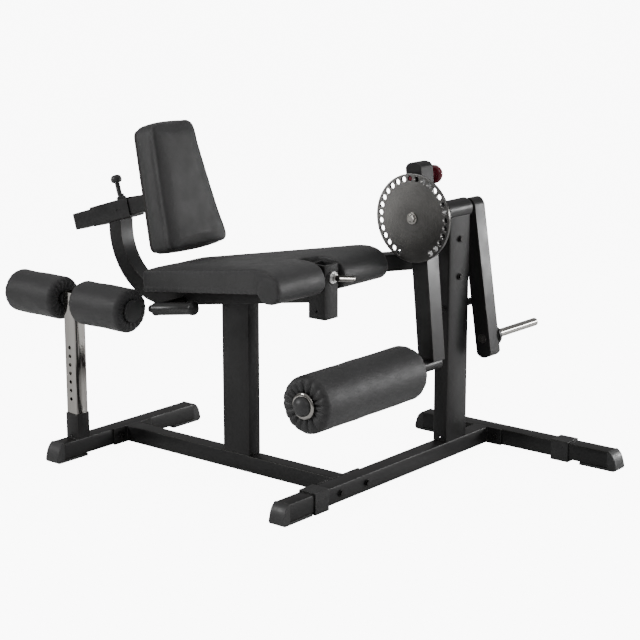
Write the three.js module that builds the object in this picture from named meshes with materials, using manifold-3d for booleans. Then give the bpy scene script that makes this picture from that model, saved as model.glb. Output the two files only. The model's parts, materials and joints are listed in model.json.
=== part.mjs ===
// Plate-loaded leg extension machine.
// Millimetres. +X is forward (the way the user faces), +Y is the user's left, +Z is up.
// While it is built, X = 0 is the middle of the rear foot, Y = 0 is the middle of the seat and
// Z = 0 is the floor. At the end the whole machine is moved so that the origin is the middle of
// its footprint, on the floor.

import * as THREE from 'three';
import { mergeVertices } from 'three/addons/utils/BufferGeometryUtils.js';
import Module from 'manifold-3d';

const wasm = await Module();
wasm.setup();

// ---------------------------------------------------------------- driving dimensions

const GAP = 0.3;                 // clearance between pieces that touch
const INCH = 25.4;
const TUBE = 2 * INCH;           // square frame tube
const WALL = 3;                  // tube wall
const CORNER = 4;                // outer corner radius of the tubes
const PLATE = 6;                 // flange plates
const PAD_RISE = 8;              // rubber under the tubes
const BOLT = 5;                  // radius of the frame bolts
const BOLT_HOLE = BOLT + GAP;
const BOLT_SIDES = 8;

const CROSS_X = 875;             // front cross beam, tower and pivot
const SIDE_FOOT_Y = 697;         // long foot on the user's left
const TOWER_Y = 499;
const POST_WIDTH = 4 * INCH;     // long side of the 4 x 2 inch uprights
const SEAT_POST_X = 483;

const FOOT_REACH = 310;          // rear foot, middle to tip
const CROSS_REACH = 305;         // front cross beam, middle to tip
const SIDE_FOOT_REAR = 622;
const SIDE_FOOT_FRONT = 1348;

const SEAT_TILT = THREE.MathUtils.degToRad(8.7);
const SEAT_REAR = { x: 219, z: 520 };      // rear edge of the seat board's underside
const SEAT_LENGTH = 627;
const SEAT_REAR_HALF = 130;
const SEAT_FRONT_HALF = 245;
const BOARD = 12;                          // plywood under the pads

const BACK_TILT = THREE.MathUtils.degToRad(16.5);
const BACK_AXIS = { x: -16, z: 720 };      // middle of the back pad's slide sleeve
const SLEEVE = 60;
const SLEEVE_LENGTH = 166;
const HOLE_STEP = 25;                      // holes along the slide bar

const PIVOT_Z = 753;
const SHAFT_R = INCH / 2;
const DISC_R = 5 * INCH;
const HOLE_CIRCLE_R = 113;
const DISC_HOLE_R = 8;
const DISC_HOLES = 27;
const HOLE_PITCH = 2 * Math.PI / 31;       // four of 31 places have no hole
const DISC_Y = 300;
const DISC_THICK = 8;

const LEVER_TILT = THREE.MathUtils.degToRad(5.47);
const LEVER_LENGTH = 430;                  // pivot to roller axle
const LEVER_TUBE = 55;
const LEVER_Y = 344;
const ROLLER_R = 80;
const ROLLER_LENGTH = 460;
const ROLLER_MID_Y = -7;
const AXLE_R = 19;

const WEIGHT_TILT = THREE.MathUtils.degToRad(8.7);
const WEIGHT_ARM_Y = 600;
const WEIGHT_ARM_LENGTH = 457;
const WEIGHT_POST_DROP = 398;              // pivot to weight post
const WEIGHT_POST_TIP_Y = 872;

const STORE_Y = -200;                      // stored hold-down on the rear foot
const STORE_TOP = 135;                     // mouth of its socket
const HOLD_POST = 45;
const FOAM_Z = 480;
const FOAM_R = 64.5;
const FOAM_LENGTH = 205;
const FOAM_INNER = 38;                     // post middle to foam end

const RECEIVER_X = 790.5;                  // hold-down socket at the seat front
const RECEIVER = 60;
const RECEIVER_BOTTOM = 505;
const RECEIVER_TOP = 658;

const BEAM_BOTTOM = PAD_RISE;
const BEAM_MID = BEAM_BOTTOM + TUBE / 2;
const BEAM_TOP = BEAM_BOTTOM + TUBE;

// ---------------------------------------------------------------- finishes

const finish = (color, roughness, metalness) =>
  new THREE.MeshStandardMaterial({ color, roughness, metalness });

const FRAME_PAINT = finish(0x2e2d2d, 0.5, 0.2);
const CHROME = finish(0xc8c8c8, 0.12, 1);
const GUNMETAL = finish(0x6a6967, 0.25, 1);
const ZINC = finish(0xa8a8a6, 0.35, 1);
const VINYL = finish(0x464646, 0.55, 0);
const RUBBER = finish(0x2a2a2a, 0.75, 0);
const BLACK_PLASTIC = finish(0x1d1d1d, 0.45, 0);
const BUSH_PLASTIC = finish(0xd8d4c6, 0.5, 0);
const RED_PLASTIC = finish(0x7a1e2c, 0.3, 0);
const PLYWOOD = finish(0x8a6b45, 0.8, 0);

// ---------------------------------------------------------------- shape helpers

function toSolid(geometry) {
  const bare = geometry.clone();
  bare.deleteAttribute('normal');
  bare.deleteAttribute('uv');
  const merged = mergeVertices(bare, 1e-4);
  return new wasm.Manifold(new wasm.Mesh({
    numProp: 3,
    vertProperties: new Float32Array(merged.attributes.position.array),
    triVerts: new Uint32Array(merged.index.array),
  }));
}

function toGeometry(solid) {
  const mesh = solid.getMesh();
  const geometry = new THREE.BufferGeometry();
  geometry.setAttribute('position', new THREE.BufferAttribute(mesh.vertProperties, 3));
  geometry.setIndex(new THREE.BufferAttribute(mesh.triVerts, 1));
  geometry.computeVertexNormals();
  return geometry;
}

const join = (first, ...others) =>
  toGeometry(others.reduce((solid, other) => solid.add(toSolid(other)), toSolid(first)));

const cut = (first, ...tools) =>
  toGeometry(tools.reduce((solid, tool) => solid.subtract(toSolid(tool)), toSolid(first)));

const common = (a, b) => toGeometry(toSolid(a).intersect(toSolid(b)));

// Turns a shape that was made along +Z so that it lies along the named axis.
const X_AXIS = new THREE.Vector3(1, 0, 0);
const Y_AXIS = new THREE.Vector3(0, 1, 0);
const Z_AXIS = new THREE.Vector3(0, 0, 1);
const ALONG = {
  x: new THREE.Matrix4().makeBasis(Y_AXIS, Z_AXIS, X_AXIS),
  y: new THREE.Matrix4().makeBasis(Z_AXIS, X_AXIS, Y_AXIS),
  z: new THREE.Matrix4(),
};

// A block given by its lowest and highest corners.
function block(x0, x1, y0, y1, z0, z1) {
  return new THREE.BoxGeometry(x1 - x0, y1 - y0, z1 - z0)
    .translate((x0 + x1) / 2, (y0 + y1) / 2, (z0 + z1) / 2);
}

function roundedRectangle(width, height, corner) {
  const shape = new THREE.Shape();
  const w = width / 2;
  const h = height / 2;
  shape.moveTo(-w + corner, -h);
  shape.absarc(w - corner, -h + corner, corner, -Math.PI / 2, 0);
  shape.absarc(w - corner, h - corner, corner, 0, Math.PI / 2);
  shape.absarc(-w + corner, h - corner, corner, Math.PI / 2, Math.PI);
  shape.absarc(-w + corner, -h + corner, corner, Math.PI, 1.5 * Math.PI);
  return shape;
}

// A straight piece of box tube from one end to the other along an axis. a and b are its outer
// sizes along the two other axes, in X, Y, Z order, and u and v its middle on those axes.
function boxTube(axis, from, to, a, b, u, v, wall = WALL, corner = CORNER) {
  const [width, height] = axis === 'y' ? [b, a] : [a, b];
  const shape = roundedRectangle(width, height, corner);
  if (wall > 0) {
    shape.holes.push(roundedRectangle(width - 2 * wall, height - 2 * wall, corner / 2));
  }
  const tube = new THREE.ExtrudeGeometry(shape, { depth: to - from, bevelEnabled: false, curveSegments: 1 });
  tube.applyMatrix4(ALONG[axis]);
  const move = { x: [from, u, v], y: [u, from, v], z: [u, v, from] }[axis];
  return tube.translate(...move);
}

// A round rod from one end to the other along an axis.
function rod(axis, from, to, radius, u, v, sides = 20) {
  const length = to - from;
  const shape = new THREE.CylinderGeometry(radius, radius, length, sides);
  shape.rotateX(Math.PI / 2).translate(0, 0, length / 2).applyMatrix4(ALONG[axis]);
  const move = { x: [from, u, v], y: [u, from, v], z: [u, v, from] }[axis];
  return shape.translate(...move);
}

// A turned piece about an axis, from [radius, distance along the axis] points in either order.
function turned(axis, profile, u, v, sides = 24) {
  const points = profile.map(([radius, distance]) => new THREE.Vector2(radius, distance));
  if (THREE.ShapeUtils.isClockWise(points)) {
    points.reverse();
  }
  const shape = new THREE.LatheGeometry(points, sides);
  shape.rotateX(Math.PI / 2).applyMatrix4(ALONG[axis]);
  const move = { x: [0, u, v], y: [u, 0, v], z: [u, v, 0] }[axis];
  return shape.translate(...move);
}

// A ring about an axis.
function ring(axis, from, to, outer, inner, u, v, sides = 24) {
  return turned(axis, [[inner, from], [outer, from], [outer, to], [inner, to], [inner, from]], u, v, sides);
}

// An outline in the XZ plane, given as a shape, as thick as width and centred on y.
function sidePlate(shape, width, y, curveSegments = 8) {
  const plate = new THREE.ExtrudeGeometry(shape, { depth: width, bevelEnabled: false, curveSegments });
  return plate.rotateX(Math.PI / 2).translate(0, y + width / 2, 0);
}

function outline(points) {
  return new THREE.Shape(points.map(([x, z]) => new THREE.Vector2(x, z)));
}

// The band between two parallels of a line of [x, z] points.
function bandAlong(points, half) {
  const side = (sign) => points.map(([x, z], i) => {
    const before = points[Math.max(i - 1, 0)];
    const after = points[Math.min(i + 1, points.length - 1)];
    const here = new THREE.Vector2(x, z);
    const inward = new THREE.Vector2().subVectors(here, new THREE.Vector2(...before));
    const outward = new THREE.Vector2().subVectors(new THREE.Vector2(...after), here);
    const a = (i === 0 ? outward : inward).normalize();
    const b = (i === points.length - 1 ? a : outward).clone().normalize();
    const mitre = a.clone().add(b).normalize();
    const reach = half / Math.max(mitre.dot(a), 0.2);
    return [x - sign * mitre.y * reach, z + sign * mitre.x * reach];
  });
  return outline([...side(-1), ...side(1).reverse()]);
}

// A box tube that follows a line of [x, z] points in the XZ plane, open at both ends.
function bentBoxTube(points, height, width, y = 0) {
  const hollow = sidePlate(bandAlong(points, height / 2 - WALL), width - 2 * WALL, y);
  return cut(sidePlate(bandAlong(points, height / 2), width, y), hollow);
}

// A hexagon bolt with its washer and nut, tightened on what it holds.
function bolt(axis, headFace, nutFace, u, v, head = 8, radius = BOLT) {
  const towardsNut = Math.sign(nutFace - headFace);
  const span = (a, b) => [Math.min(a, b), Math.max(a, b)];
  const headEnd = headFace - towardsNut * head;
  const nutEnd = nutFace + towardsNut * head;
  const tip = nutEnd + towardsNut * 3;
  return join(
    rod(axis, ...span(headEnd, tip), radius, u, v, BOLT_SIDES),
    rod(axis, ...span(headEnd, headFace - towardsNut * 2), radius * 1.7, u, v, 6),
    rod(axis, ...span(headFace - towardsNut * 2.2, headFace), radius * 2.1, u, v, 12),
    rod(axis, ...span(nutFace, nutFace + towardsNut * 2.2), radius * 2.1, u, v, 12),
    rod(axis, ...span(nutFace + towardsNut * 2, nutEnd), radius * 1.7, u, v, 6),
  );
}

// A pull knob pin: plunger, neck and mushroom knob, from its nose at 0 to its knob.
function pullPin(axis, nose, shoulder, knobStart, knobEnd, plungerR, neckR, knobR, u, v) {
  const round = 0.72;
  return turned(axis, [
    [0, nose],
    [plungerR * 0.8, nose],
    [plungerR, nose + 1],
    [plungerR, shoulder],
    [neckR, shoulder],
    [neckR, knobStart],
    [knobR * round, knobStart],
    [knobR, knobStart + (knobEnd - knobStart) * 0.35],
    [knobR * 0.92, knobStart + (knobEnd - knobStart) * 0.7],
    [knobR * 0.6, knobEnd],
    [0, knobEnd],
  ], u, v, 20);
}

// The housing that a pull pin slides in: a hexagon with a round collar on top, bored through.
function pinHousing(axis, face, hexHeight, height, hexR, collarR, bore, u, v) {
  return cut(
    join(
      rod(axis, face, face + hexHeight, hexR, u, v, 6),
      rod(axis, face + hexHeight - 1, face + height, collarR, u, v, 20),
    ),
    rod(axis, face - 5, face + height + 5, bore, u, v, 20),
  );
}

const machine = new THREE.Group();

function add(parent, name, geometry, material) {
  const mesh = new THREE.Mesh(geometry, material);
  mesh.name = name;
  parent.add(mesh);
  return mesh;
}

// A group whose own +X points forward and up by the tilt.
function tiltedGroup(x, z, tilt) {
  const group = new THREE.Group();
  group.position.set(x, 0, z);
  group.rotation.y = -tilt;
  machine.add(group);
  return group;
}

// ---------------------------------------------------------------- feet and base tubes

const CAP_LENGTH = 30;           // tube end to the tip of its shoe
const SHOE_LENGTH = 124;
const SHOE_TOP_SET_BACK = 25;    // how far the sloping end face leans back
const BAND_WIDTH = 59;
const BAND_SKIN = 3.5;

// A moulded shoe that closes a foot tube, with a sloping end face and a tread under the tube.
// Built for a tube along X that ends at 0, tip towards +X.
function shoe() {
  const side = new THREE.Shape();
  side.moveTo(CAP_LENGTH - SHOE_LENGTH, 0);
  side.lineTo(CAP_LENGTH - 12, 0);
  side.quadraticCurveTo(CAP_LENGTH, 0, CAP_LENGTH, 12);
  side.lineTo(CAP_LENGTH - 5, 30);
  side.quadraticCurveTo(CAP_LENGTH - 9, 48, CAP_LENGTH - SHOE_TOP_SET_BACK, BEAM_TOP);
  side.lineTo(0, BEAM_TOP);
  side.lineTo(0, BEAM_BOTTOM - GAP);
  side.lineTo(CAP_LENGTH - SHOE_LENGTH, BEAM_BOTTOM - GAP);
  const inside = TUBE / 2 - WALL - GAP;
  const plug = boxTube('x', -25, 5, 2 * inside, 2 * inside, 0, BEAM_MID, 0, 3);
  return join(sidePlate(side, TUBE, 0, 4), plug);
}

function addShoe(name, x, y, turn) {
  const mesh = add(machine, name, shoe(), BLACK_PLASTIC);
  mesh.position.set(x, y, 0);
  mesh.rotation.z = turn;
}

// A rubber band round a foot tube along X, with its tread on the floor.
function footBand() {
  const half = TUBE / 2 + GAP;
  return cut(
    block(-BAND_WIDTH / 2, BAND_WIDTH / 2, -half - BAND_SKIN, half + BAND_SKIN,
      0, BEAM_TOP + GAP + BAND_SKIN),
    block(-BAND_WIDTH, BAND_WIDTH, -half, half, BEAM_BOTTOM - GAP, BEAM_TOP + GAP),
  );
}

function addBand(name, x, y, turn) {
  const mesh = add(machine, name, footBand(), RUBBER);
  mesh.position.set(x, y, 0);
  mesh.rotation.z = turn;
}

const REAR_BOLT_Y = 52;
const BEAM_BOLT_Y = 59;
const SIDE_BOLT_X = 52;

function addRearFoot() {
  const end = FOOT_REACH - CAP_LENGTH;
  const foot = boxTube('y', -end, end, TUBE, TUBE, 0, BEAM_MID);
  const socketWall = (TUBE - HOLD_POST) / 2 - GAP;
  const socket = boxTube('z', BEAM_TOP - 1, STORE_TOP, TUBE, TUBE, 0, STORE_Y, socketWall);
  const drain = rod('y', STORE_Y - TUBE, STORE_Y, 3, 0, BEAM_TOP + 10, 12);
  const holes = [-REAR_BOLT_Y, REAR_BOLT_Y].map((y) => (
    rod('x', -TUBE, TUBE, BOLT_HOLE, y, BEAM_MID, BOLT_SIDES)));
  add(machine, 'rear_foot', cut(join(foot, socket), drain, ...holes), FRAME_PAINT);
  addShoe('rear_shoe_near', 0, -end - GAP, -Math.PI / 2);
  addShoe('rear_shoe_far', 0, end + GAP, Math.PI / 2);
}

function addBaseBeam() {
  const rear = TUBE / 2 + GAP;
  const front = CROSS_X - TUBE / 2 - GAP;
  const flange = (x, half) => block(x, x + PLATE, -half, half, BEAM_BOTTOM, BEAM_TOP);
  const beam = join(
    boxTube('x', rear + PLATE - 1, front - PLATE + 1, TUBE, TUBE, 0, BEAM_MID),
    flange(rear, 80),
    flange(front - PLATE, 90),
  );
  const hole = (x, y) => rod('x', x - 2 * PLATE, x + 2 * PLATE, BOLT_HOLE, y, BEAM_MID, BOLT_SIDES);
  const vent = rod('x', 0, CROSS_X, 6, 0, BEAM_MID, 12);
  add(machine, 'base_beam', cut(
    beam,
    vent,
    hole(rear, -REAR_BOLT_Y),
    hole(rear, REAR_BOLT_Y),
    hole(front, -BEAM_BOLT_Y),
    hole(front, BEAM_BOLT_Y),
  ), FRAME_PAINT);
  for (const [side, sign] of [['near', -1], ['far', 1]]) {
    add(machine, `rear_bolt_${side}`,
      bolt('x', -TUBE / 2 - GAP, rear + PLATE + GAP, sign * REAR_BOLT_Y, BEAM_MID), ZINC);
    add(machine, `beam_bolt_${side}`,
      bolt('x', CROSS_X + TUBE / 2 + GAP, front - PLATE - GAP, sign * BEAM_BOLT_Y, BEAM_MID), ZINC);
  }
}

function addCrossBeam() {
  const near = -CROSS_REACH + CAP_LENGTH;
  const far = SIDE_FOOT_Y - TUBE / 2 - GAP;
  const beam = boxTube('y', near, far - PLATE + 1, TUBE, TUBE, CROSS_X, BEAM_MID);
  const flange = block(CROSS_X - 75, CROSS_X + 75, far - PLATE, far, BEAM_BOTTOM, BEAM_TOP);
  const vent = rod('y', far - 2 * PLATE, far + PLATE, 6, CROSS_X, BEAM_MID, 12);
  const beamHoles = [-BEAM_BOLT_Y, BEAM_BOLT_Y].map(
    (y) => rod('x', CROSS_X - TUBE, CROSS_X + TUBE, BOLT_HOLE, y, BEAM_MID, BOLT_SIDES));
  const flangeHoles = [-SIDE_BOLT_X, SIDE_BOLT_X].map(
    (x) => rod('y', far - 2 * PLATE, far + PLATE, BOLT_HOLE, CROSS_X + x, BEAM_MID, BOLT_SIDES));
  add(machine, 'front_cross_beam', cut(join(beam, flange), vent, ...beamHoles, ...flangeHoles), FRAME_PAINT);
  addShoe('front_shoe_near', CROSS_X, near - GAP, -Math.PI / 2);
  addBand('front_foot_band', CROSS_X, -144, Math.PI / 2);
  for (const [side, sign] of [['rear', -1], ['front', 1]]) {
    add(machine, `side_bolt_${side}`,
      bolt('y', far - PLATE - GAP, SIDE_FOOT_Y + TUBE / 2 + GAP,
        CROSS_X + sign * SIDE_BOLT_X, BEAM_MID), ZINC);
  }
}

function addSideFoot() {
  const rear = SIDE_FOOT_REAR + CAP_LENGTH;
  const front = SIDE_FOOT_FRONT - CAP_LENGTH;
  const foot = boxTube('x', rear, front, TUBE, TUBE, SIDE_FOOT_Y, BEAM_MID);
  const holes = [-SIDE_BOLT_X, SIDE_BOLT_X].map((x) =>
    rod('y', SIDE_FOOT_Y - TUBE, SIDE_FOOT_Y + TUBE, BOLT_HOLE, CROSS_X + x, BEAM_MID, BOLT_SIDES));
  add(machine, 'side_foot', cut(foot, ...holes), FRAME_PAINT);
  addShoe('side_shoe_rear', rear - GAP, SIDE_FOOT_Y, Math.PI);
  addShoe('side_shoe_front', front + GAP, SIDE_FOOT_Y, 0);
  addBand('side_foot_band', 1157, SIDE_FOOT_Y, 0);
}

// ---------------------------------------------------------------- tower and pivot

const HOUSING_R = 30;
const HOUSING_BORE = 20;
const TOWER_NEAR = TOWER_Y - POST_WIDTH / 2;
const TOWER_FAR = TOWER_Y + POST_WIDTH / 2;
const HOUSING_NEAR = TOWER_NEAR - 6;
const HOUSING_FAR = TOWER_FAR + 5;
const BRACE_Z = 608;
const FLANGE_Z = 612;
const FLANGE_BOLT_RISE = 56;
const STOP = { x: 881.5, z: 465, bumperR: 11 };

function addTower() {
  const post = boxTube('z', BEAM_TOP + GAP, PIVOT_Z - 16, TUBE, POST_WIDTH, CROSS_X, TOWER_Y);
  const saddle = rod('y', TOWER_NEAR - 50, TOWER_FAR + 50, HOUSING_R + GAP, CROSS_X, PIVOT_Z, 32);
  const braceHoles = [-1, 1].map((sign) => rod('x', CROSS_X - TUBE, CROSS_X + TUBE, BOLT_HOLE,
    TOWER_Y, FLANGE_Z + sign * FLANGE_BOLT_RISE, BOLT_SIDES));
  const stopHole = rod('y', TOWER_NEAR - 10, TOWER_FAR + 10, BOLT_HOLE, STOP.x, STOP.z, BOLT_SIDES);
  const drain = rod('y', TOWER_NEAR - 10, TOWER_NEAR + 10, 4, CROSS_X, BEAM_TOP + 12, 12);
  add(machine, 'tower_post', cut(post, saddle, stopHole, drain, ...braceHoles), FRAME_PAINT);
  add(machine, 'pivot_housing',
    ring('y', HOUSING_NEAR, HOUSING_FAR, HOUSING_R, HOUSING_BORE, CROSS_X, PIVOT_Z, 32), FRAME_PAINT);
  addPivotBush('pivot_bush_near', HOUSING_NEAR, 1);
  addPivotBush('pivot_bush_far', HOUSING_FAR, -1);
  add(machine, 'stop_bolt', bolt('y', TOWER_NEAR - GAP, TOWER_FAR + 48, STOP.x, STOP.z, 7), ZINC);
  add(machine, 'stop_bumper',
    ring('y', TOWER_FAR + GAP, TOWER_FAR + 47, STOP.bumperR, BOLT_HOLE, STOP.x, STOP.z, 20), RUBBER);
}

// A flanged plastic bush in one end of the pivot housing.
function addPivotBush(name, end, inwards) {
  const flange = end - inwards * (GAP + 3);
  const face = end - inwards * GAP;
  const inner = end + inwards * 35;
  const outerR = HOUSING_BORE - GAP;
  const boreR = SHAFT_R + GAP;
  add(machine, name, turned('y', [
    [boreR, flange],
    [HOUSING_R - 2, flange],
    [HOUSING_R - 2, face],
    [outerR, face],
    [outerR, inner],
    [boreR, inner],
    [boreR, flange],
  ], CROSS_X, PIVOT_Z, 24), BUSH_PLASTIC);
}

// ---------------------------------------------------------------- seat frame

const RAIL_BOTTOM = { x: 164, z: 455.5 };        // a point on the rail's underside
const BEND_R = 190;                              // middle of the tube in the rear bend
const BEND_MIDDLE_X = 191;
const RAIL_HALF = TUBE / 2 / Math.cos(SEAT_TILT);
const railMid = (x) => RAIL_BOTTOM.z + (x - RAIL_BOTTOM.x) * Math.tan(SEAT_TILT) + RAIL_HALF;

// Middle line of the seat rail: up the rear upright, round the bend and along under the seat.
function railLine() {
  const middle = { x: BEND_MIDDLE_X, z: railMid(BEND_MIDDLE_X) + BEND_R / Math.cos(SEAT_TILT) };
  const points = [[middle.x - BEND_R, BACK_AXIS.z + 20]];
  const steps = 12;
  const turn = Math.PI / 2 + SEAT_TILT;
  for (let i = 0; i <= steps; i++) {
    const angle = Math.PI + turn * i / steps;
    points.push([middle.x + BEND_R * Math.cos(angle), middle.z + BEND_R * Math.sin(angle)]);
  }
  points.push([RECEIVER_X, railMid(RECEIVER_X)]);
  return points;
}

const GRIP_Y = 175;
const GRIP_BAR_R = 11;
const GRIP_R = 19.5;
const GRIP_LENGTH = 197;
const GRIP_REAR = { x: 56, z: -42 };             // in the seat's own frame

function addSeatFrame() {
  const rail = bentBoxTube(railLine(), TUBE, TUBE);
  const frontCut = block(RECEIVER_X - RECEIVER / 2 - GAP, RECEIVER_X + 200, -100, 100, 300, 900);
  const sleeveCut = block(-300, 300, -100, 100, -SLEEVE / 2 - GAP, 200)
    .rotateY(-BACK_TILT).translate(BACK_AXIS.x, 0, BACK_AXIS.z);
  const inRail = seatPoint(GRIP_REAR.x, GRIP_REAR.z);
  const gripHole = rod('y', -100, 100, GRIP_BAR_R + GAP, inRail.x, inRail.z, 16);
  const brackets = [60, 255].map((x) => block(x, x + 50, -80, 80, -5.5, -0.5)
    .rotateY(-SEAT_TILT).translate(SEAT_REAR.x, 0, SEAT_REAR.z));
  add(machine, 'seat_rail', cut(join(rail, ...brackets), frontCut, sleeveCut, gripHole), FRAME_PAINT);

  const underRail = block(-300, 900, -100, 100, 0, 300).rotateY(-SEAT_TILT)
    .translate(RAIL_BOTTOM.x, 0, RAIL_BOTTOM.z - GAP);
  const post = boxTube('z', BEAM_TOP + GAP, 560, POST_WIDTH, TUBE, SEAT_POST_X, 0);
  add(machine, 'seat_post', cut(post, underRail), FRAME_PAINT);
}

// A point given in the seat's frame, in the machine's frame.
function seatPoint(x, z) {
  return {
    x: SEAT_REAR.x + x * Math.cos(SEAT_TILT) - z * Math.sin(SEAT_TILT),
    z: SEAT_REAR.z + x * Math.sin(SEAT_TILT) + z * Math.cos(SEAT_TILT),
  };
}

// The brace from the seat rail to the tower: a tube as far as the seat pad's edge, closed by an
// end plate, and from there a flat strap that passes under the pad's roll to the rail.
function addBrace() {
  const towerFace = CROSS_X - TUBE / 2 - GAP;
  const angle = Math.PI / 3;
  const width = 50;
  const half = width / 2;
  const towerY = TOWER_Y - 6;
  const length = towerY / Math.sin(angle);
  const tubeStart = 312;
  const tubeTop = BRACE_Z + TUBE / 2;
  const strapTop = 570;
  const strapBottom = strapTop - 8;
  const line = join(
    boxTube('x', tubeStart, length + width, width, TUBE, 0, BRACE_Z),
    block(tubeStart - PLATE, tubeStart + 1, -half, half, strapBottom, tubeTop),
    block(0, tubeStart, -half, half, strapBottom, strapTop),
  ).rotateZ(angle).translate(towerFace - length * Math.cos(angle), 0, 0);
  const towerCut = block(towerFace - PLATE + 1, towerFace + 200, 0, 900, 400, 800);
  const railCut = block(300, 900, -200, TUBE / 2 + GAP, 400, 800);
  const flange = boxTube('x', towerFace - PLATE, towerFace, 90, 150, TOWER_Y, FLANGE_Z, 0);
  const boltZ = [-1, 1].map((sign) => FLANGE_Z + sign * FLANGE_BOLT_RISE);
  const holes = boltZ.map((z) => rod('x', towerFace - 30, towerFace + 10, BOLT_HOLE, TOWER_Y, z, BOLT_SIDES));
  add(machine, 'diagonal_brace', cut(join(cut(line, towerCut, railCut), flange), ...holes), FRAME_PAINT);
  ['lower', 'upper'].forEach((side, i) => {
    const from = CROSS_X + TUBE / 2 + GAP;
    add(machine, `brace_bolt_${side}`, bolt('x', from, towerFace - PLATE - GAP, TOWER_Y, boltZ[i]), ZINC);
  });
}

function addReceiver() {
  const face = RECEIVER_X + RECEIVER / 2;
  const pinZ = 622;
  const tube = boxTube('z', RECEIVER_BOTTOM, RECEIVER_TOP, RECEIVER, RECEIVER, RECEIVER_X, 0);
  const pinHole = rod('x', RECEIVER_X, face + 40, 6 + GAP, 0, pinZ, 16);
  const drain = rod('y', -RECEIVER, 0, 4, RECEIVER_X, RECEIVER_BOTTOM + 22, 12);
  add(machine, 'hold_down_receiver', cut(tube, pinHole, drain), FRAME_PAINT);

  const linerOut = RECEIVER - 2 * WALL - 2 * GAP;
  const linerWall = (linerOut - HOLD_POST) / 2 - GAP;
  const liner = boxTube('z', RECEIVER_BOTTOM + 30, RECEIVER_TOP, linerOut, linerOut,
    RECEIVER_X, 0, linerWall);
  add(machine, 'receiver_liner', cut(liner, pinHole), BUSH_PLASTIC);

  add(machine, 'receiver_pin_housing', cut(
    join(
      rod('x', face + GAP, face + 7, 17, 0, pinZ, 24),
      rod('x', face + 6, face + 16, 11, 0, pinZ, 20),
    ),
    rod('x', face - 5, face + 20, 6 + GAP, 0, pinZ, 20),
  ), ZINC);

  // The pin's handle is an L that droops a little.
  const nose = RECEIVER_X + HOLD_POST / 2 - 5;
  const handleX = face + 27;
  const handle = rod('y', -9, 60, 8.5, 0, 0, 16).rotateX(THREE.MathUtils.degToRad(-10))
    .translate(handleX, 0, pinZ);
  const pin = join(
    rod('x', nose, face + 20, 6, 0, pinZ, 16),
    rod('x', face + 16 + GAP, handleX + 4, 7.5, 0, pinZ, 16),
    handle,
  );
  add(machine, 'receiver_pin', pin, CHROME);
}

// ---------------------------------------------------------------- seat

const ROLL = { x: 587, z: 7, r: 40 };            // soft roll along the seat's front edge
const NOTCH_HALF = 40;
const NOTCH_REAR = 522;
const SLAB_TOP = 66;
const PAD_UNDER = 1;                             // the cover wraps down round the board's edge
const BOARD_INSET = 9;
const BOARD_FRONT = 539;

// The board's outline from above, or with grow that of the pocket it lies in.
function boardOutline(grow) {
  const side = BOARD_INSET - grow;
  const front = BOARD_FRONT + grow;
  const notch = NOTCH_REAR - 6 + grow;
  return outline([
    [side, -SEAT_REAR_HALF + side],
    [front, -SEAT_FRONT_HALF + side + 6],
    [front, -NOTCH_HALF + grow],
    [notch, -NOTCH_HALF + grow],
    [notch, NOTCH_HALF - grow],
    [front, NOTCH_HALF - grow],
    [front, SEAT_FRONT_HALF - side - 6],
    [side, SEAT_REAR_HALF - side],
  ]);
}

function addSeat() {
  const seat = tiltedGroup(SEAT_REAR.x, SEAT_REAR.z, SEAT_TILT);
  const flareEnd = ROLL.x - ROLL.r;

  const side = new THREE.Shape();
  side.moveTo(0, PAD_UNDER);
  side.lineTo(0, SLAB_TOP - 12);
  side.quadraticCurveTo(0, SLAB_TOP - 2, 14, SLAB_TOP);
  side.lineTo(ROLL.x - 50, SLAB_TOP + 4);
  side.quadraticCurveTo(ROLL.x + ROLL.r, SLAB_TOP, ROLL.x + ROLL.r, ROLL.z);
  side.absarc(ROLL.x, ROLL.z, ROLL.r, 0, -Math.PI * 0.92, true);
  side.lineTo(ROLL.x - ROLL.r, PAD_UNDER);

  const plan = new THREE.Shape();
  plan.moveTo(0, -SEAT_REAR_HALF);
  plan.lineTo(flareEnd, -SEAT_FRONT_HALF);
  plan.lineTo(SEAT_LENGTH + 10, -SEAT_FRONT_HALF);
  plan.lineTo(SEAT_LENGTH + 10, -NOTCH_HALF);
  plan.lineTo(NOTCH_REAR + NOTCH_HALF, -NOTCH_HALF);
  plan.absarc(NOTCH_REAR + NOTCH_HALF, 0, NOTCH_HALF, -Math.PI / 2, Math.PI / 2, true);
  plan.lineTo(SEAT_LENGTH + 10, NOTCH_HALF);
  plan.lineTo(SEAT_LENGTH + 10, SEAT_FRONT_HALF);
  plan.lineTo(flareEnd, SEAT_FRONT_HALF);
  plan.lineTo(0, SEAT_REAR_HALF);
  const planBlock = new THREE.ExtrudeGeometry(plan, { depth: 200, bevelEnabled: false, curveSegments: 8 })
    .translate(0, 0, -100);
  const pocket = new THREE.ExtrudeGeometry(boardOutline(GAP),
    { depth: BOARD + GAP + 50, bevelEnabled: false })
    .translate(0, 0, -50);
  add(seat, 'seat_pad', cut(common(sidePlate(side, 600, 0, 8), planBlock), pocket), VINYL);
  add(seat, 'seat_board',
    new THREE.ExtrudeGeometry(boardOutline(0), { depth: BOARD, bevelEnabled: false }), PLYWOOD);

  addGrips(seat);
}

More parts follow.
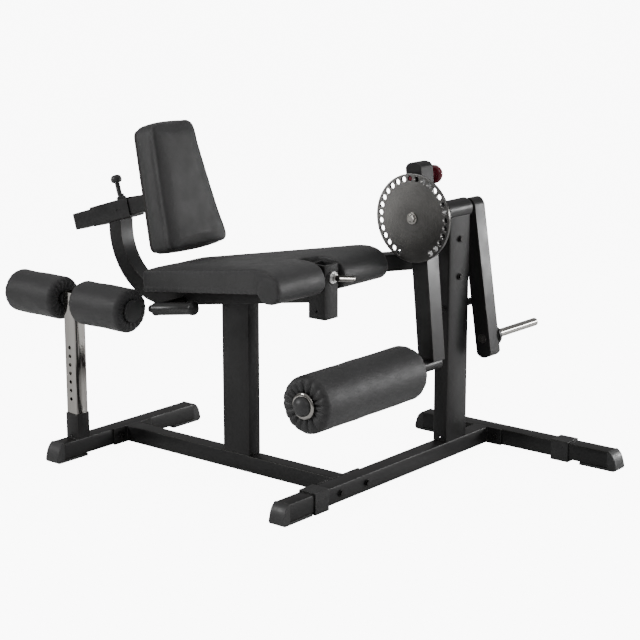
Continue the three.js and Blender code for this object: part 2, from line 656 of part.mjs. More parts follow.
// One bent bar through the seat rail, with a rubber grip on each end.
function addGrips(seat) {
  const bend = 30;
  const gripEnd = GRIP_REAR.x + GRIP_LENGTH;
  const path = new THREE.CurvePath();
  const at = (x, y) => new THREE.Vector3(x, y, GRIP_REAR.z);
  const corner = (sign) => [
    at(GRIP_REAR.x + bend, sign * GRIP_Y),
    at(GRIP_REAR.x, sign * GRIP_Y),
    at(GRIP_REAR.x, sign * (GRIP_Y - bend)),
  ];
  const [nearFront, nearMiddle, nearSide] = corner(-1);
  const [farFront, farMiddle, farSide] = corner(1);
  path.add(new THREE.LineCurve3(at(gripEnd - 6, -GRIP_Y), nearFront));
  path.add(new THREE.QuadraticBezierCurve3(nearFront, nearMiddle, nearSide));
  path.add(new THREE.LineCurve3(nearSide, farSide));
  path.add(new THREE.QuadraticBezierCurve3(farSide, farMiddle, farFront));
  path.add(new THREE.LineCurve3(farFront, at(gripEnd - 6, GRIP_Y)));
  const section = new THREE.Shape().absarc(0, 0, GRIP_BAR_R, 0, 2 * Math.PI);
  const bar = new THREE.ExtrudeGeometry(section,
    { steps: 40, extrudePath: path, bevelEnabled: false, curveSegments: 5 });
  add(seat, 'grip_bar', bar, FRAME_PAINT);

  for (const [side, sign] of [['near', -1], ['far', 1]]) {
    const from = GRIP_REAR.x + bend + 2;
    const bore = GRIP_BAR_R + GAP;
    const grip = turned('x', [
      [bore, from],
      [GRIP_R - 4, from],
      [GRIP_R, from + 6],
      [GRIP_R, gripEnd - 10],
      [GRIP_R - 4, gripEnd - 3],
      [GRIP_R - 10, gripEnd],
      [0, gripEnd],
      [0, gripEnd - 5],
      [bore, gripEnd - 5],
      [bore, from],
    ], sign * GRIP_Y, GRIP_REAR.z, 24);
    add(seat, `grip_${side}`, grip, RUBBER);
  }
}

// ---------------------------------------------------------------- back pad and its slide

const BAR_REAR = -169;
const BAR_FRONT = 210;
const PIN_X = 33;
const BACK_FACE = 227;                           // back of the pad's board
const PAD_THICK = 89;                            // with its board
const PAD_LOW = -164;
const PAD_HIGH = 214;
const PAD_HALF_LOW = 129;
const PAD_HALF_HIGH = 88;

// The back pad's outline, seen from the front: wider at the bottom, with rounded corners.
function backOutline(inset) {
  const low = PAD_LOW + inset;
  const high = PAD_HIGH - inset;
  const halfLow = PAD_HALF_LOW - inset;
  const halfHigh = PAD_HALF_HIGH - inset;
  const corner = 34 - inset;
  const lean = (halfLow - halfHigh) / (high - low);
  const half = (z) => halfLow - (z - low) * lean;
  const shape = new THREE.Shape();
  shape.moveTo(-halfLow + corner, low);
  shape.lineTo(halfLow - corner, low);
  shape.quadraticCurveTo(halfLow, low, half(low + corner), low + corner);
  shape.lineTo(half(high - corner), high - corner);
  shape.quadraticCurveTo(halfHigh, high, halfHigh - corner, high);
  shape.lineTo(-halfHigh + corner, high);
  shape.quadraticCurveTo(-halfHigh, high, -half(high - corner), high - corner);
  shape.lineTo(-half(low + corner), low + corner);
  shape.quadraticCurveTo(-halfLow, low, -halfLow + corner, low);
  return shape;
}

function backPlate(inset, from, to, options = {}) {
  const plate = new THREE.ExtrudeGeometry(backOutline(inset),
    { depth: to - from, bevelEnabled: false, curveSegments: 5, ...options });
  return plate.applyMatrix4(ALONG.x).translate(from, 0, 0);
}

function addBack() {
  const back = tiltedGroup(BACK_AXIS.x, BACK_AXIS.z, BACK_TILT);
  const half = SLEEVE_LENGTH / 2;
  const sleeveWall = (SLEEVE - TUBE) / 2 - GAP;
  const sleeve = boxTube('x', -half, half, SLEEVE, SLEEVE, 0, 0, sleeveWall);
  const pinHole = rod('z', 0, 60, 5 + GAP, PIN_X, 0, 16);
  const sideHole = rod('y', -SLEEVE, 0, 3, PIN_X, 0, 12);
  add(back, 'slide_sleeve', cut(sleeve, pinHole, sideHole), FRAME_PAINT);
  add(back, 'back_pin_housing',
    pinHousing('z', SLEEVE / 2 + GAP, 8, 16, 15, 10, 5 + GAP, PIN_X, 0), BLACK_PLASTIC);
  add(back, 'back_pin', pullPin('z', TUBE / 2 - 9, SLEEVE / 2 + 17, SLEEVE / 2 + 52, SLEEVE / 2 + 76,
    5, 8, 17, PIN_X, 0), BLACK_PLASTIC);

  const bar = boxTube('x', BAR_REAR, BAR_FRONT, TUBE, TUBE, 0, 0);
  const plate = boxTube('x', BACK_FACE - GAP - PLATE, BACK_FACE - GAP, 150, 190, 0, 10, 0);
  const neck = boxTube('x', BAR_FRONT - 2, BACK_FACE - GAP - 2, TUBE, TUBE, 0, 0);
  const vent = rod('x', BAR_FRONT, BACK_FACE + 5, 8, 0, 0, 12);
  const holes = [];
  for (let i = -4; i <= 6; i++) {
    holes.push(rod('z', 0, 60, 5.6, PIN_X + i * HOLE_STEP, 0, 12));
  }
  add(back, 'back_slide_bar', cut(join(bar, neck, plate), vent, ...holes), FRAME_PAINT);
  add(back, 'back_board', backPlate(8, BACK_FACE, BACK_FACE + BOARD), PLYWOOD);
  const bevel = { bevelEnabled: true, bevelThickness: 8, bevelSize: 8, bevelOffset: -8, bevelSegments: 3 };
  const padFrom = BACK_FACE + BOARD + GAP;
  const pad = backPlate(0, padFrom + 8, BACK_FACE + PAD_THICK - 8, bevel);
  add(back, 'back_pad', pad, VINYL);
}

// ---------------------------------------------------------------- cam, weight arm and lever

function addCam() {
  const near = DISC_Y - DISC_THICK / 2;
  const far = DISC_Y + DISC_THICK / 2;
  const disc = ring('y', near, far, DISC_R, SHAFT_R + GAP, CROSS_X, PIVOT_Z, 64);
  const holes = [];
  for (let i = 0; i < DISC_HOLES; i++) {
    const angle = (i - (DISC_HOLES - 1) / 2) * HOLE_PITCH - LEVER_TILT;
    holes.push(rod('y', near - 5, far + 5, DISC_HOLE_R,
      CROSS_X + HOLE_CIRCLE_R * Math.sin(angle), PIVOT_Z + HOLE_CIRCLE_R * Math.cos(angle), 10));
  }
  add(machine, 'cam_disc', cut(disc, ...holes), GUNMETAL);

  const boltHole = rod('y', near - 10, near + 32, BOLT_HOLE, CROSS_X, PIVOT_Z, BOLT_SIDES);
  const shaft = rod('y', near, WEIGHT_ARM_Y + 10, SHAFT_R, CROSS_X, PIVOT_Z, 32);
  add(machine, 'cam_shaft', cut(shaft, boltHole), ZINC);
  add(machine, 'hub_bolt', join(
    turned('y', [[0, near - 12], [9, near - 12], [12, near - 9], [12, near - 3], [0, near - 3]],
      CROSS_X, PIVOT_Z, 6),
    rod('y', near - 4, near - GAP, 17, CROSS_X, PIVOT_Z, 28),
    rod('y', near - 2, near + 30, BOLT, CROSS_X, PIVOT_Z, BOLT_SIDES),
  ), CHROME);
}

// Side view of an arm that hangs from the pivot: straight sides and arched ends.
function armOutline(half, top, bottom, archTop, archBottom) {
  const shape = new THREE.Shape();
  shape.moveTo(-half, bottom + archBottom);
  shape.quadraticCurveTo(-half * 0.6, bottom, 0, bottom);
  shape.quadraticCurveTo(half * 0.6, bottom, half, bottom + archBottom);
  shape.lineTo(half, top - archTop);
  shape.quadraticCurveTo(half * 0.8, top, 0, top);
  shape.quadraticCurveTo(-half * 0.8, top, -half, top - archTop);
  return shape;
}

function addWeightArm() {
  const arm = tiltedGroup(CROSS_X, PIVOT_Z, WEIGHT_TILT);
  const half = TUBE / 2;
  const outer = sidePlate(armOutline(half, half, -WEIGHT_ARM_LENGTH, half, 14), TUBE, WEIGHT_ARM_Y, 6);
  const inner = sidePlate(
    armOutline(half - WALL, half - WALL, -WEIGHT_ARM_LENGTH + WALL, half - WALL, 13),
    TUBE - 2 * WALL, WEIGHT_ARM_Y, 6);
  const near = WEIGHT_ARM_Y - half;
  const far = WEIGHT_ARM_Y + half;
  const shaftHole = rod('y', near - 5, WEIGHT_ARM_Y, SHAFT_R + GAP, 0, 0, 32);
  const drain = rod('z', -WEIGHT_ARM_LENGTH - 10, -WEIGHT_ARM_LENGTH + 20, 4, 0, WEIGHT_ARM_Y, 12);
  const flange = turned('y', [
    [0, far - 1],
    [32, far - 1],
    [32, far + 9],
    [29, far + 12],
    [0, far + 12],
  ], 0, -WEIGHT_POST_DROP, 32);
  const postHole = rod('y', near - 5, far + 50, SHAFT_R + GAP, 0, -WEIGHT_POST_DROP, 28);
  add(arm, 'weight_arm', cut(join(cut(outer, inner), flange), shaftHole, drain, postHole), FRAME_PAINT);
  add(arm, 'weight_post', turned('y', [
    [0, near + GAP],
    [SHAFT_R, near + GAP],
    [SHAFT_R, WEIGHT_POST_TIP_Y - 6],
    [SHAFT_R - 3, WEIGHT_POST_TIP_Y - 1.5],
    [SHAFT_R - 7, WEIGHT_POST_TIP_Y],
    [0, WEIGHT_POST_TIP_Y],
  ], 0, -WEIGHT_POST_DROP, 28), CHROME);
}

const HUB_R = 24;
const HUB_BORE = 17;

function addLever() {
  const lever = tiltedGroup(CROSS_X, PIVOT_Z, LEVER_TILT);
  const half = LEVER_TUBE / 2;
  const near = LEVER_Y - half;
  const far = LEVER_Y + half;
  const top = 157;
  const bottom = -LEVER_LENGTH + AXLE_R * 0.5;
  const outer = sidePlate(armOutline(half, top, bottom, 15, 1), LEVER_TUBE, LEVER_Y, 6);
  const inner = sidePlate(armOutline(half - WALL, top - WALL, bottom - 10, 14, 1),
    LEVER_TUBE - 2 * WALL, LEVER_Y, 6);
  const discFar = DISC_Y + DISC_THICK / 2;
  const hub = rod('y', discFar + 2, HOUSING_NEAR - 12, HUB_R, 0, 0, 32);
  const hubBore = rod('y', discFar - 5, HOUSING_NEAR, HUB_BORE, 0, 0, 32);
  const pinHole = rod('y', near - 5, far + 5, 7 + GAP, 0, HOLE_CIRCLE_R, 16);
  const cope = rod('y', near - 5, far + 5, AXLE_R + GAP, 0, -LEVER_LENGTH, 32);
  add(lever, 'lever_arm', cut(join(cut(outer, inner), hub), hubBore, pinHole, cope), FRAME_PAINT);
  add(lever, 'lever_bush',
    ring('y', discFar + 1, HOUSING_NEAR - 10, HUB_BORE - GAP, SHAFT_R + GAP, 0, 0, 32), BUSH_PLASTIC);
  add(lever, 'cam_pin_housing',
    pinHousing('y', far + GAP, 10, 19, 14, 11, 7 + GAP, 0, HOLE_CIRCLE_R), ZINC);
  add(lever, 'cam_pin', pullPin('y', DISC_Y - 3, far + 21, far + 34, far + 58,
    7, 8, 27, 0, HOLE_CIRCLE_R), RED_PLASTIC);

  const rollerNear = ROLLER_MID_Y - ROLLER_LENGTH / 2;
  const rollerFar = ROLLER_MID_Y + ROLLER_LENGTH / 2;
  const washerFar = rollerNear - 1;
  const washerNear = washerFar - 5;
  const axleEnd = washerNear - GAP;
  const axle = join(
    ring('y', axleEnd, far, AXLE_R, AXLE_R - WALL, 0, -LEVER_LENGTH, 32),
    ring('y', rollerFar + 1, rollerFar + 7, 34, AXLE_R - 1, 0, -LEVER_LENGTH, 32),
  );
  add(lever, 'roller_axle', axle, FRAME_PAINT);
  add(lever, 'roller_washer', turned('y', [
    [AXLE_R + GAP, washerNear + 1],
    [36, washerNear],
    [37, washerNear + 1],
    [37, washerFar - 1],
    [36, washerFar],
    [AXLE_R + GAP, washerFar],
    [AXLE_R + GAP, washerNear + 1],
  ], 0, -LEVER_LENGTH, 28), CHROME);
  const capFace = axleEnd - GAP;
  const capDepth = 19;
  const dome = [[0, capFace - capDepth]];
  for (let i = 1; i <= 4; i++) {
    const angle = (Math.PI / 2) * i / 4;
    dome.push([28 * Math.sin(angle), capFace - capDepth * Math.cos(angle)]);
  }
  const plugR = AXLE_R - WALL - GAP;
  add(lever, 'roller_end_cap', turned('y', [
    ...dome,
    [plugR, capFace],
    [plugR, capFace + 22],
    [0, capFace + 22],
  ], 0, -LEVER_LENGTH, 28), BLACK_PLASTIC);
  add(lever, 'roller_foam',
    roller('y', rollerNear, rollerFar, ROLLER_R, AXLE_R + GAP, 0, -LEVER_LENGTH, 28), VINYL);
}

// A covered foam roller with soft shoulders and a bore.
function roller(axis, from, to, radius, bore, u, v, sides) {
  const soft = 16;
  const dish = 6;
  return turned(axis, [
    [bore, from + dish],
    [radius * 0.6, from],
    [radius - soft, from + 1],
    [radius - soft * 0.3, from + soft * 0.4],
    [radius, from + soft * 1.2],
    [radius, to - soft * 1.2],
    [radius - soft * 0.3, to - soft * 0.4],
    [radius - soft, to - 1],
    [radius * 0.6, to],
    [bore, to - dish],
    [bore, from + dish],
  ], u, v, sides);
}

// ---------------------------------------------------------------- stored thigh hold-down

function addStoredHoldDown() {
  const axleR = 12;
  const post = boxTube('z', BEAM_TOP + GAP, FOAM_Z + 26, HOLD_POST, HOLD_POST, 0, STORE_Y, 2.5, 3);
  const axleHole = rod('x', -HOLD_POST, HOLD_POST, axleR + GAP, STORE_Y, FOAM_Z, 24);
  const holes = [];
  for (let i = 0; i < 7; i++) {
    holes.push(rod('y', STORE_Y - HOLD_POST, STORE_Y, 5.5, -1, 180 + i * 26.4, 16));
  }
  add(machine, 'storage_post', cut(post, axleHole, ...holes), CHROME);

  const outer = FOAM_INNER + FOAM_LENGTH;
  const collar = (from, to) => ring('x', from, to, 20, axleR - 1, STORE_Y, FOAM_Z, 24);
  const cap = (from, to) => rod('x', from, to, 33, STORE_Y, FOAM_Z, 24);
  add(machine, 'foam_axle', join(
    rod('x', -outer - 4, outer + 4, axleR, STORE_Y, FOAM_Z, 24),
    collar(FOAM_INNER - 10, FOAM_INNER - 2),
    collar(-FOAM_INNER + 2, -FOAM_INNER + 10),
    cap(outer + 1, outer + 6),
    cap(-outer - 6, -outer - 1),
  ), BLACK_PLASTIC);
  add(machine, 'foam_front', roller('x', FOAM_INNER, outer, FOAM_R, axleR + GAP, STORE_Y, FOAM_Z, 24), VINYL);
  add(machine, 'foam_rear',
    roller('x', -outer, -FOAM_INNER, FOAM_R, axleR + GAP, STORE_Y, FOAM_Z, 24), VINYL);
}

// ---------------------------------------------------------------- assembly

addRearFoot();
addBaseBeam();
addCrossBeam();
addSideFoot();
addTower();
addSeatFrame();
addBrace();
addReceiver();
addSeat();
addBack();
addCam();
addWeightArm();
addLever();
addStoredHoldDown();

machine.updateMatrixWorld(true);
const extent = new THREE.Box3().setFromObject(machine, true);
machine.position.set(-(extent.min.x + extent.max.x) / 2, -(extent.min.y + extent.max.y) / 2, -extent.min.z);

const legExtension = new THREE.Group();
legExtension.add(machine);

export default legExtension;
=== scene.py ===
import json
import math

import bpy
import numpy as np
from mathutils import Matrix, Vector


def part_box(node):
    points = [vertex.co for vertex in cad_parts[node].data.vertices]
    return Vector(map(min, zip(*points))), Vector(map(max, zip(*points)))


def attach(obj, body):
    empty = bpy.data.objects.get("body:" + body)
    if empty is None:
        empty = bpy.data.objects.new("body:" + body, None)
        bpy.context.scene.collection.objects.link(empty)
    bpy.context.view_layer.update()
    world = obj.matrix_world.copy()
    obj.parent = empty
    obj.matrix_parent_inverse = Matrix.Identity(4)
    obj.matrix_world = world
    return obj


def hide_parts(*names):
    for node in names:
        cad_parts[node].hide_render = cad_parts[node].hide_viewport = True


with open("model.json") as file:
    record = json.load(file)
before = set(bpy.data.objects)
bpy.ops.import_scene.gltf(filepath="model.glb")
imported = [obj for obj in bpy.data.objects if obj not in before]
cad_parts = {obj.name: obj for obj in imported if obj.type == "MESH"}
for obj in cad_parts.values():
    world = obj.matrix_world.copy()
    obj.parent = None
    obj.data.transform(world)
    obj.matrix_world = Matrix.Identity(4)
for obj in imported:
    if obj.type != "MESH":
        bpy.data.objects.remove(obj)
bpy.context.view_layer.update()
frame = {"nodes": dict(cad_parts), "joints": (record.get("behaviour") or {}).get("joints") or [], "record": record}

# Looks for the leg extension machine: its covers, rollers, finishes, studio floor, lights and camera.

NODES = frame["nodes"]
JOINTS = {joint["name"]: joint for joint in frame["joints"]}
X, Y, Z = Vector((1, 0, 0)), Vector((0, 1, 0)), Vector((0, 0, 1))
MM = 0.001
WHITE = (1, 1, 1, 1)


# ---------------------------------------------------------------- reading the frame

def middle(node):
    """Middle of a CAD node's box."""
    low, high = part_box(node)
    return (low + high) / 2


def centre_line(node, axis):
    """The point nearest the origin on the line along an axis through a CAD node's middle."""
    centre = middle(node)
    return centre - axis * centre.dot(axis)


def vertices(mesh):
    """A mesh's points as rows of x, y, z."""
    points = np.empty(len(mesh.vertices) * 3)
    mesh.vertices.foreach_get("co", points)
    return points.reshape(-1, 3)


def span(node, direction):
    """Lowest and highest distance of a CAD node along a direction."""
    along = vertices(NODES[node].data) @ np.array(direction)
    return along.min(), along.max()


def broad_normal(node):
    """The way that a plate's largest face looks, turned to point up."""
    widest = max(NODES[node].data.polygons, key=lambda face: face.area)
    return widest.normal.copy() if widest.normal.z > 0 else -widest.normal


PIVOT = Vector(JOINTS["leg_swing"]["pos_m"])
SEAT_UP = broad_normal("seat_board").normalized()
SEAT_FORWARD = Y.cross(SEAT_UP).normalized()
BACK_FORWARD = Vector(JOINTS["back_rest_slide"]["axis"]).normalized()
BACK_UP = BACK_FORWARD.cross(Y).normalized()


# ---------------------------------------------------------------- camera, lights and floor

CAMERA_AZIMUTH = math.radians(39.19)
CAMERA_PITCH = math.radians(12.92)
CAMERA_DISTANCE = 5.083
CAMERA_LENS = 95.65
CAMERA_REACH = 300
AIM_HEIGHT = 0.413

LIGHT_AIM = (0, 0, 0.5)
ROOM_LOW, ROOM_HIGH = 0.2, 0.5        # strength of the surroundings at eye level and overhead
CLIMB_START, CLIMB_END = 0.05, 0.8    # heights between which it brightens, 0 level and 1 straight up
BACKDROP_STRENGTH = 24.0
FLOOR_GLOW = 9.0
FLOOR_HALF = 120


def add_camera():
    """The camera looks a little down, from between the machine's front, +X, and its near side, -Y."""
    back = Vector((
        math.sin(CAMERA_AZIMUTH) * math.cos(CAMERA_PITCH),
        -math.cos(CAMERA_AZIMUTH) * math.cos(CAMERA_PITCH),
        math.sin(CAMERA_PITCH),
    ))
    data = bpy.data.cameras.new("camera")
    data.lens = CAMERA_LENS
    data.clip_end = CAMERA_REACH
    camera = bpy.data.objects.new("camera", data)
    camera.location = Vector((0, 0, AIM_HEIGHT)) + back * CAMERA_DISTANCE
    camera.rotation_mode = "QUATERNION"
    camera.rotation_quaternion = (-back).to_track_quat("-Z", "Y")
    bpy.context.scene.collection.objects.link(camera)
    bpy.context.scene.camera = camera


def add_softbox(name, place, width, height, power, aim=LIGHT_AIM):
    """A rectangular area light that looks at a point, its size in metres and its power in watts."""
    data = bpy.data.lights.new(name, "AREA")
    data.shape = "RECTANGLE"
    data.size = width
    data.size_y = height
    data.energy = power
    light = bpy.data.objects.new(name, data)
    light.location = place
    light.rotation_mode = "QUATERNION"
    light.rotation_quaternion = (Vector(aim) - Vector(place)).to_track_quat("-Z", "Y")
    bpy.context.scene.collection.objects.link(light)


def add_world():
    """Soft surroundings, brighter overhead than at eye level, behind a plain white backdrop."""
    world = bpy.data.worlds.new("studio")
    world.use_nodes = True
    tree = world.node_tree
    tree.nodes.clear()
    toward = tree.nodes.new("ShaderNodeTexCoord")
    height = tree.nodes.new("ShaderNodeSeparateXYZ")
    tree.links.new(toward.outputs["Generated"], height.inputs[0])
    climb = tree.nodes.new("ShaderNodeMapRange")
    tree.links.new(height.outputs["Z"], climb.inputs["Value"])
    climb.inputs["From Min"].default_value = CLIMB_START
    climb.inputs["From Max"].default_value = CLIMB_END
    climb.inputs["To Min"].default_value = ROOM_LOW
    climb.inputs["To Max"].default_value = ROOM_HIGH
    room = tree.nodes.new("ShaderNodeBackground")
    tree.links.new(climb.outputs["Result"], room.inputs["Strength"])
    backdrop = tree.nodes.new("ShaderNodeBackground")
    backdrop.inputs["Color"].default_value = WHITE
    backdrop.inputs["Strength"].default_value = BACKDROP_STRENGTH
    ray = tree.nodes.new("ShaderNodeLightPath")
    mix = tree.nodes.new("ShaderNodeMixShader")
    tree.links.new(ray.outputs["Is Camera Ray"], mix.inputs[0])
    tree.links.new(room.outputs[0], mix.inputs[1])
    tree.links.new(backdrop.outputs[0], mix.inputs[2])
    surface = tree.nodes.new("ShaderNodeOutputWorld")
    tree.links.new(mix.outputs[0], surface.inputs["Surface"])
    bpy.context.scene.world = world


def add_lights():
    """Four softboxes: seen from the camera, front right, left, overhead, and low down behind right."""
    add_softbox("key", (3.4, -1.2, 3.0), width=2.2, height=1.6, power=20)
    add_softbox("fill", (-2.2, -3.4, 2.2), width=0.9, height=0.9, power=62)
    add_softbox("top", (-0.4, 0.6, 3.6), width=2.4, height=2.0, power=14)
    add_softbox("far_strip", (2.6, 3.2, 1.05), width=1.6, height=0.5, power=80, aim=(0.4, 0.3, 0.6))


def floor_finish():
    """Pale floor, which glows white to the camera like a lit backdrop."""
    shade = Shader("studio_floor", (0.9, 0.9, 0.9), 0.65)
    shade.vary_color(shade.noise(0.8), 0.985, 1.0)
    shade.bump((shade.noise(180.0), 0.02 * MM))
    seen = shade.node("ShaderNodeLightPath").outputs["Is Camera Ray"]
    shade.set("Emission Color", WHITE)
    shade.feed(shade.math("MULTIPLY", seen, FLOOR_GLOW), shade.surface.inputs["Emission Strength"])
    return shade.material


def add_floor():
    """A plain square floor, far wider than the view."""
    half = FLOOR_HALF
    corners = [(-half, -half, 0), (half, -half, 0), (half, half, 0), (-half, half, 0)]
    mesh = bpy.data.meshes.new("floor")
    mesh.from_pydata(corners, [], [(0, 1, 2, 3)])
    mesh.materials.append(floor_finish())
    floor = bpy.data.objects.new("floor", mesh)
    bpy.context.scene.collection.objects.link(floor)


# ---------------------------------------------------------------- building shaders

NOISE_LOW, NOISE_HIGH = 0.3, 0.7      # most of a noise texture's values lie between these
EDGE_RIM, EDGE_MIDDLE = 0.995, 0.9    # cosines of a normal's turn where a rounded edge starts and is full


class Shader:
    """A node material with a Principled surface, and short calls that build it up."""

    def __init__(self, name, color, roughness, metallic=0.0):
        self.material = bpy.data.materials.new(name)
        self.material.use_nodes = True
        self.tree = self.material.node_tree
        self.surface = self.tree.nodes["Principled BSDF"]
        self.color = (*color, 1)
        self.set("Base Color", self.color)
        self.set("Roughness", roughness)
        self.set("Metallic", metallic)
        self.place = self.node("ShaderNodeTexCoord").outputs["Object"]
        self.material.diffuse_color = self.color

    def set(self, socket, value):
        """Sets one of the surface's own sockets to a number or colour."""
        self.surface.inputs[socket].default_value = value

    def node(self, kind, inputs=None, **settings):
        """A new node with its settings made and its inputs fed."""
        made = self.tree.nodes.new(kind)
        for key, value in settings.items():
            setattr(made, key, value)
        for key, value in (inputs or {}).items():
            self.feed(value, made.inputs[key])
        return made

    def feed(self, value, socket):
        """Joins an output to a socket, or sets the socket's number."""
        if isinstance(value, bpy.types.NodeSocket):
            self.tree.links.new(value, socket)
        else:
            socket.default_value = value

    def noise(self, scale, detail=3.0, distortion=0.0, place=None):
        """Noise with about scale patches to a metre."""
        inputs = {"Vector": place or self.place, "Scale": scale, "Detail": detail, "Distortion": distortion}
        return self.node("ShaderNodeTexNoise", inputs).outputs["Fac"]

    def cells(self, scale):
        """How far a point is from the edge of its cell, with about scale cells to a metre."""
        inputs = {"Vector": self.place, "Scale": scale}
        return self.node("ShaderNodeTexVoronoi", inputs, feature="DISTANCE_TO_EDGE").outputs["Distance"]

    def math(self, operation, first, second):
        """One sum on two values."""
        return self.node("ShaderNodeMath", {0: first, 1: second}, operation=operation).outputs[0]

    def vector_math(self, operation, *vectors):
        """A vector sum's node: its first output is a vector, its output Value a number."""
        return self.node("ShaderNodeVectorMath", dict(enumerate(vectors)), operation=operation)

    def between(self, value, low, high, new_low, new_high):
        """A value's range moved to a new range, cut off at both ends."""
        inputs = {"Value": value, "From Min": low, "From Max": high, "To Min": new_low, "To Max": new_high}
        return self.node("ShaderNodeMapRange", inputs).outputs["Result"]

    def blend(self, amount, first, second):
        """Two colours mixed: all of the first at an amount of 0, all of the second at 1."""
        made = self.node("ShaderNodeMix", data_type="RGBA")
        amount_socket, first_socket, second_socket = (made.inputs[i] for i in (0, 6, 7))
        self.feed(amount, amount_socket)
        self.feed(first, first_socket)
        self.feed(second, second_socket)
        return made.outputs[2]

    def vary_color(self, noise, low, high):
        """The colour made darker or lighter by patches of noise."""
        red, green, blue, _ = self.color
        dark = (red * low, green * low, blue * low, 1)
        light = (min(red * high, 1), min(green * high, 1), min(blue * high, 1), 1)
        result = self.blend(self.between(noise, NOISE_LOW, NOISE_HIGH, 0, 1), dark, light)
        self.paint(result)
        return result

    def vary_roughness(self, noise, low, high):
        """The roughness between low and high by patches of noise."""
        roughness = self.between(noise, NOISE_LOW, NOISE_HIGH, low, high)
        self.feed(roughness, self.surface.inputs["Roughness"])

    def paint(self, color):
        """Feeds a worked-out colour to the surface."""
        self.feed(color, self.surface.inputs["Base Color"])

    def bump(self, *layers, normal=None):
        """Layers of (height pattern, depth in metres), the first the deepest in the stack."""
        for pattern, depth in layers:
            inputs = {"Height": pattern, "Distance": depth, "Strength": 1.0}
            if normal is not None:
                inputs["Normal"] = normal
            normal = self.node("ShaderNodeBump", inputs).outputs["Normal"]
        self.feed(normal, self.surface.inputs["Normal"])

    def rounded(self, radius):
        """Normals of edges rounded to a radius, and how far each point is on such an edge, 0 to 1."""
        normal = self.node("ShaderNodeBevel", {"Radius": radius}, samples=4).outputs["Normal"]
        flat = self.node("ShaderNodeNewGeometry").outputs["Normal"]
        product = self.vector_math("DOT_PRODUCT", normal, flat).outputs["Value"]
        return normal, self.between(product, EDGE_RIM, EDGE_MIDDLE, 0, 1)


# ---------------------------------------------------------------- the machine's finishes

def powder_coat():
    """Satin black powder coat: fine orange peel, pale specks, and a painted highlight along the edges, in patches.
    """
    shade = Shader("frame_paint", (0.015, 0.0146, 0.0146), 0.38)
    speck_color = (0.04, 0.039, 0.038, 1)
    edge_highlight_color = (0.13, 0.127, 0.124, 1)
    normal, edge = shade.rounded(2.2 * MM)
    coat = shade.vary_color(shade.noise(5.0), 0.86, 1.16)
    speck = shade.between(shade.noise(1500.0, 2.0), 0.62, 0.74, 0, 0.3)
    coat = shade.blend(speck, coat, speck_color)
    # Painted highlight: the edges are painted lighter, in patches.
    highlight_patches = shade.between(shade.noise(40.0), NOISE_LOW, NOISE_HIGH, 0.35, 0.8)
    shade.paint(shade.blend(shade.math("MULTIPLY", edge, highlight_patches), coat, edge_highlight_color))
    shade.vary_roughness(shade.noise(16.0, 5.0), 0.33, 0.46)
    shade.bump((shade.noise(420.0, 2.0), 0.07 * MM), (shade.noise(1800.0, 2.0), 0.02 * MM), normal=normal)
    shade.set("Specular IOR Level", 0.42)
    return shade.material


def vinyl():
    """Charcoal upholstery vinyl with a fine leather grain."""
    shade = Shader("vinyl", (0.032, 0.032, 0.0325), 0.48)
    raised_color = (0.045, 0.045, 0.046, 1)
    grain = shade.between(shade.cells(620.0), 0.0, 0.16, 0, 1)
    pores = shade.noise(1500.0, 2.0)
    tone = shade.vary_color(shade.noise(7.0, 4.0), 0.86, 1.16)
    shade.paint(shade.blend(shade.math("MULTIPLY", grain, 0.35), tone, raised_color))
    shade.vary_roughness(shade.noise(30.0, 5.0), 0.4, 0.55)
    shade.bump((shade.noise(25.0), 0.5 * MM), (grain, 0.09 * MM), (pores, 0.025 * MM))
    shade.set("Specular IOR Level", 0.45)
    shade.set("Sheen Weight", 0.08)
    shade.set("Sheen Roughness", 0.5)
    return shade.material


def chrome():
    """Polished chrome plate with faint smudges."""
    # The slight warm tint is a painted reflection of warm surroundings.
    shade = Shader("chrome", (0.44, 0.425, 0.40), 0.07, 1.0)
    normal, _ = shade.rounded(0.8 * MM)
    shade.vary_color(shade.noise(12.0), 0.93, 1.04)
    shade.vary_roughness(shade.noise(24.0, 6.0), 0.05, 0.15)
    shade.bump((shade.noise(700.0), 0.004 * MM), normal=normal)
    return shade.material


def cam_steel():
    """Dark polished steel, turned on a lathe: fine rings round the pivot, and a painted highlight on its edges."""
    shade = Shader("cam_steel", (0.17, 0.166, 0.16), 0.3, 1.0)
    edge_highlight_color = (0.75, 0.75, 0.75, 1)
    across_axle = (1, 0, 1)
    normal, edge = shade.rounded(0.9 * MM)
    offset = shade.vector_math("ADD", shade.place, tuple(-PIVOT)).outputs[0]
    flattened = shade.vector_math("MULTIPLY", offset, across_axle).outputs[0]
    radius = shade.vector_math("LENGTH", flattened).outputs["Value"]
    ring_place = shade.node("ShaderNodeCombineXYZ", {"X": radius}).outputs[0]
    rings = shade.noise(2600.0, 2.0, place=ring_place)
    tone = shade.vary_color(shade.noise(9.0), 0.8, 1.15)
    # Painted highlight: the edges are painted near white.
    shade.paint(shade.blend(edge, tone, edge_highlight_color))
    shade.vary_roughness(rings, 0.24, 0.36)
    shade.bump((rings, 0.004 * MM), normal=normal)
    tangent = shade.node("ShaderNodeTangent", direction_type="RADIAL", axis="Y")
    shade.feed(tangent.outputs[0], shade.surface.inputs["Tangent"])
    shade.set("Anisotropic", 0.88)
    shade.set("Anisotropic Rotation", 0.25)
    return shade.material


def zinc():
    """Bright zinc plate on fasteners."""
    shade = Shader("zinc", (0.78, 0.78, 0.77), 0.32, 1.0)
    normal, _ = shade.rounded(0.6 * MM)
    shade.vary_color(shade.noise(150.0), 0.82, 1.12)
    shade.vary_roughness(shade.noise(220.0), 0.25, 0.45)
    shade.bump((shade.noise(900.0), 0.015 * MM), normal=normal)
    return shade.material


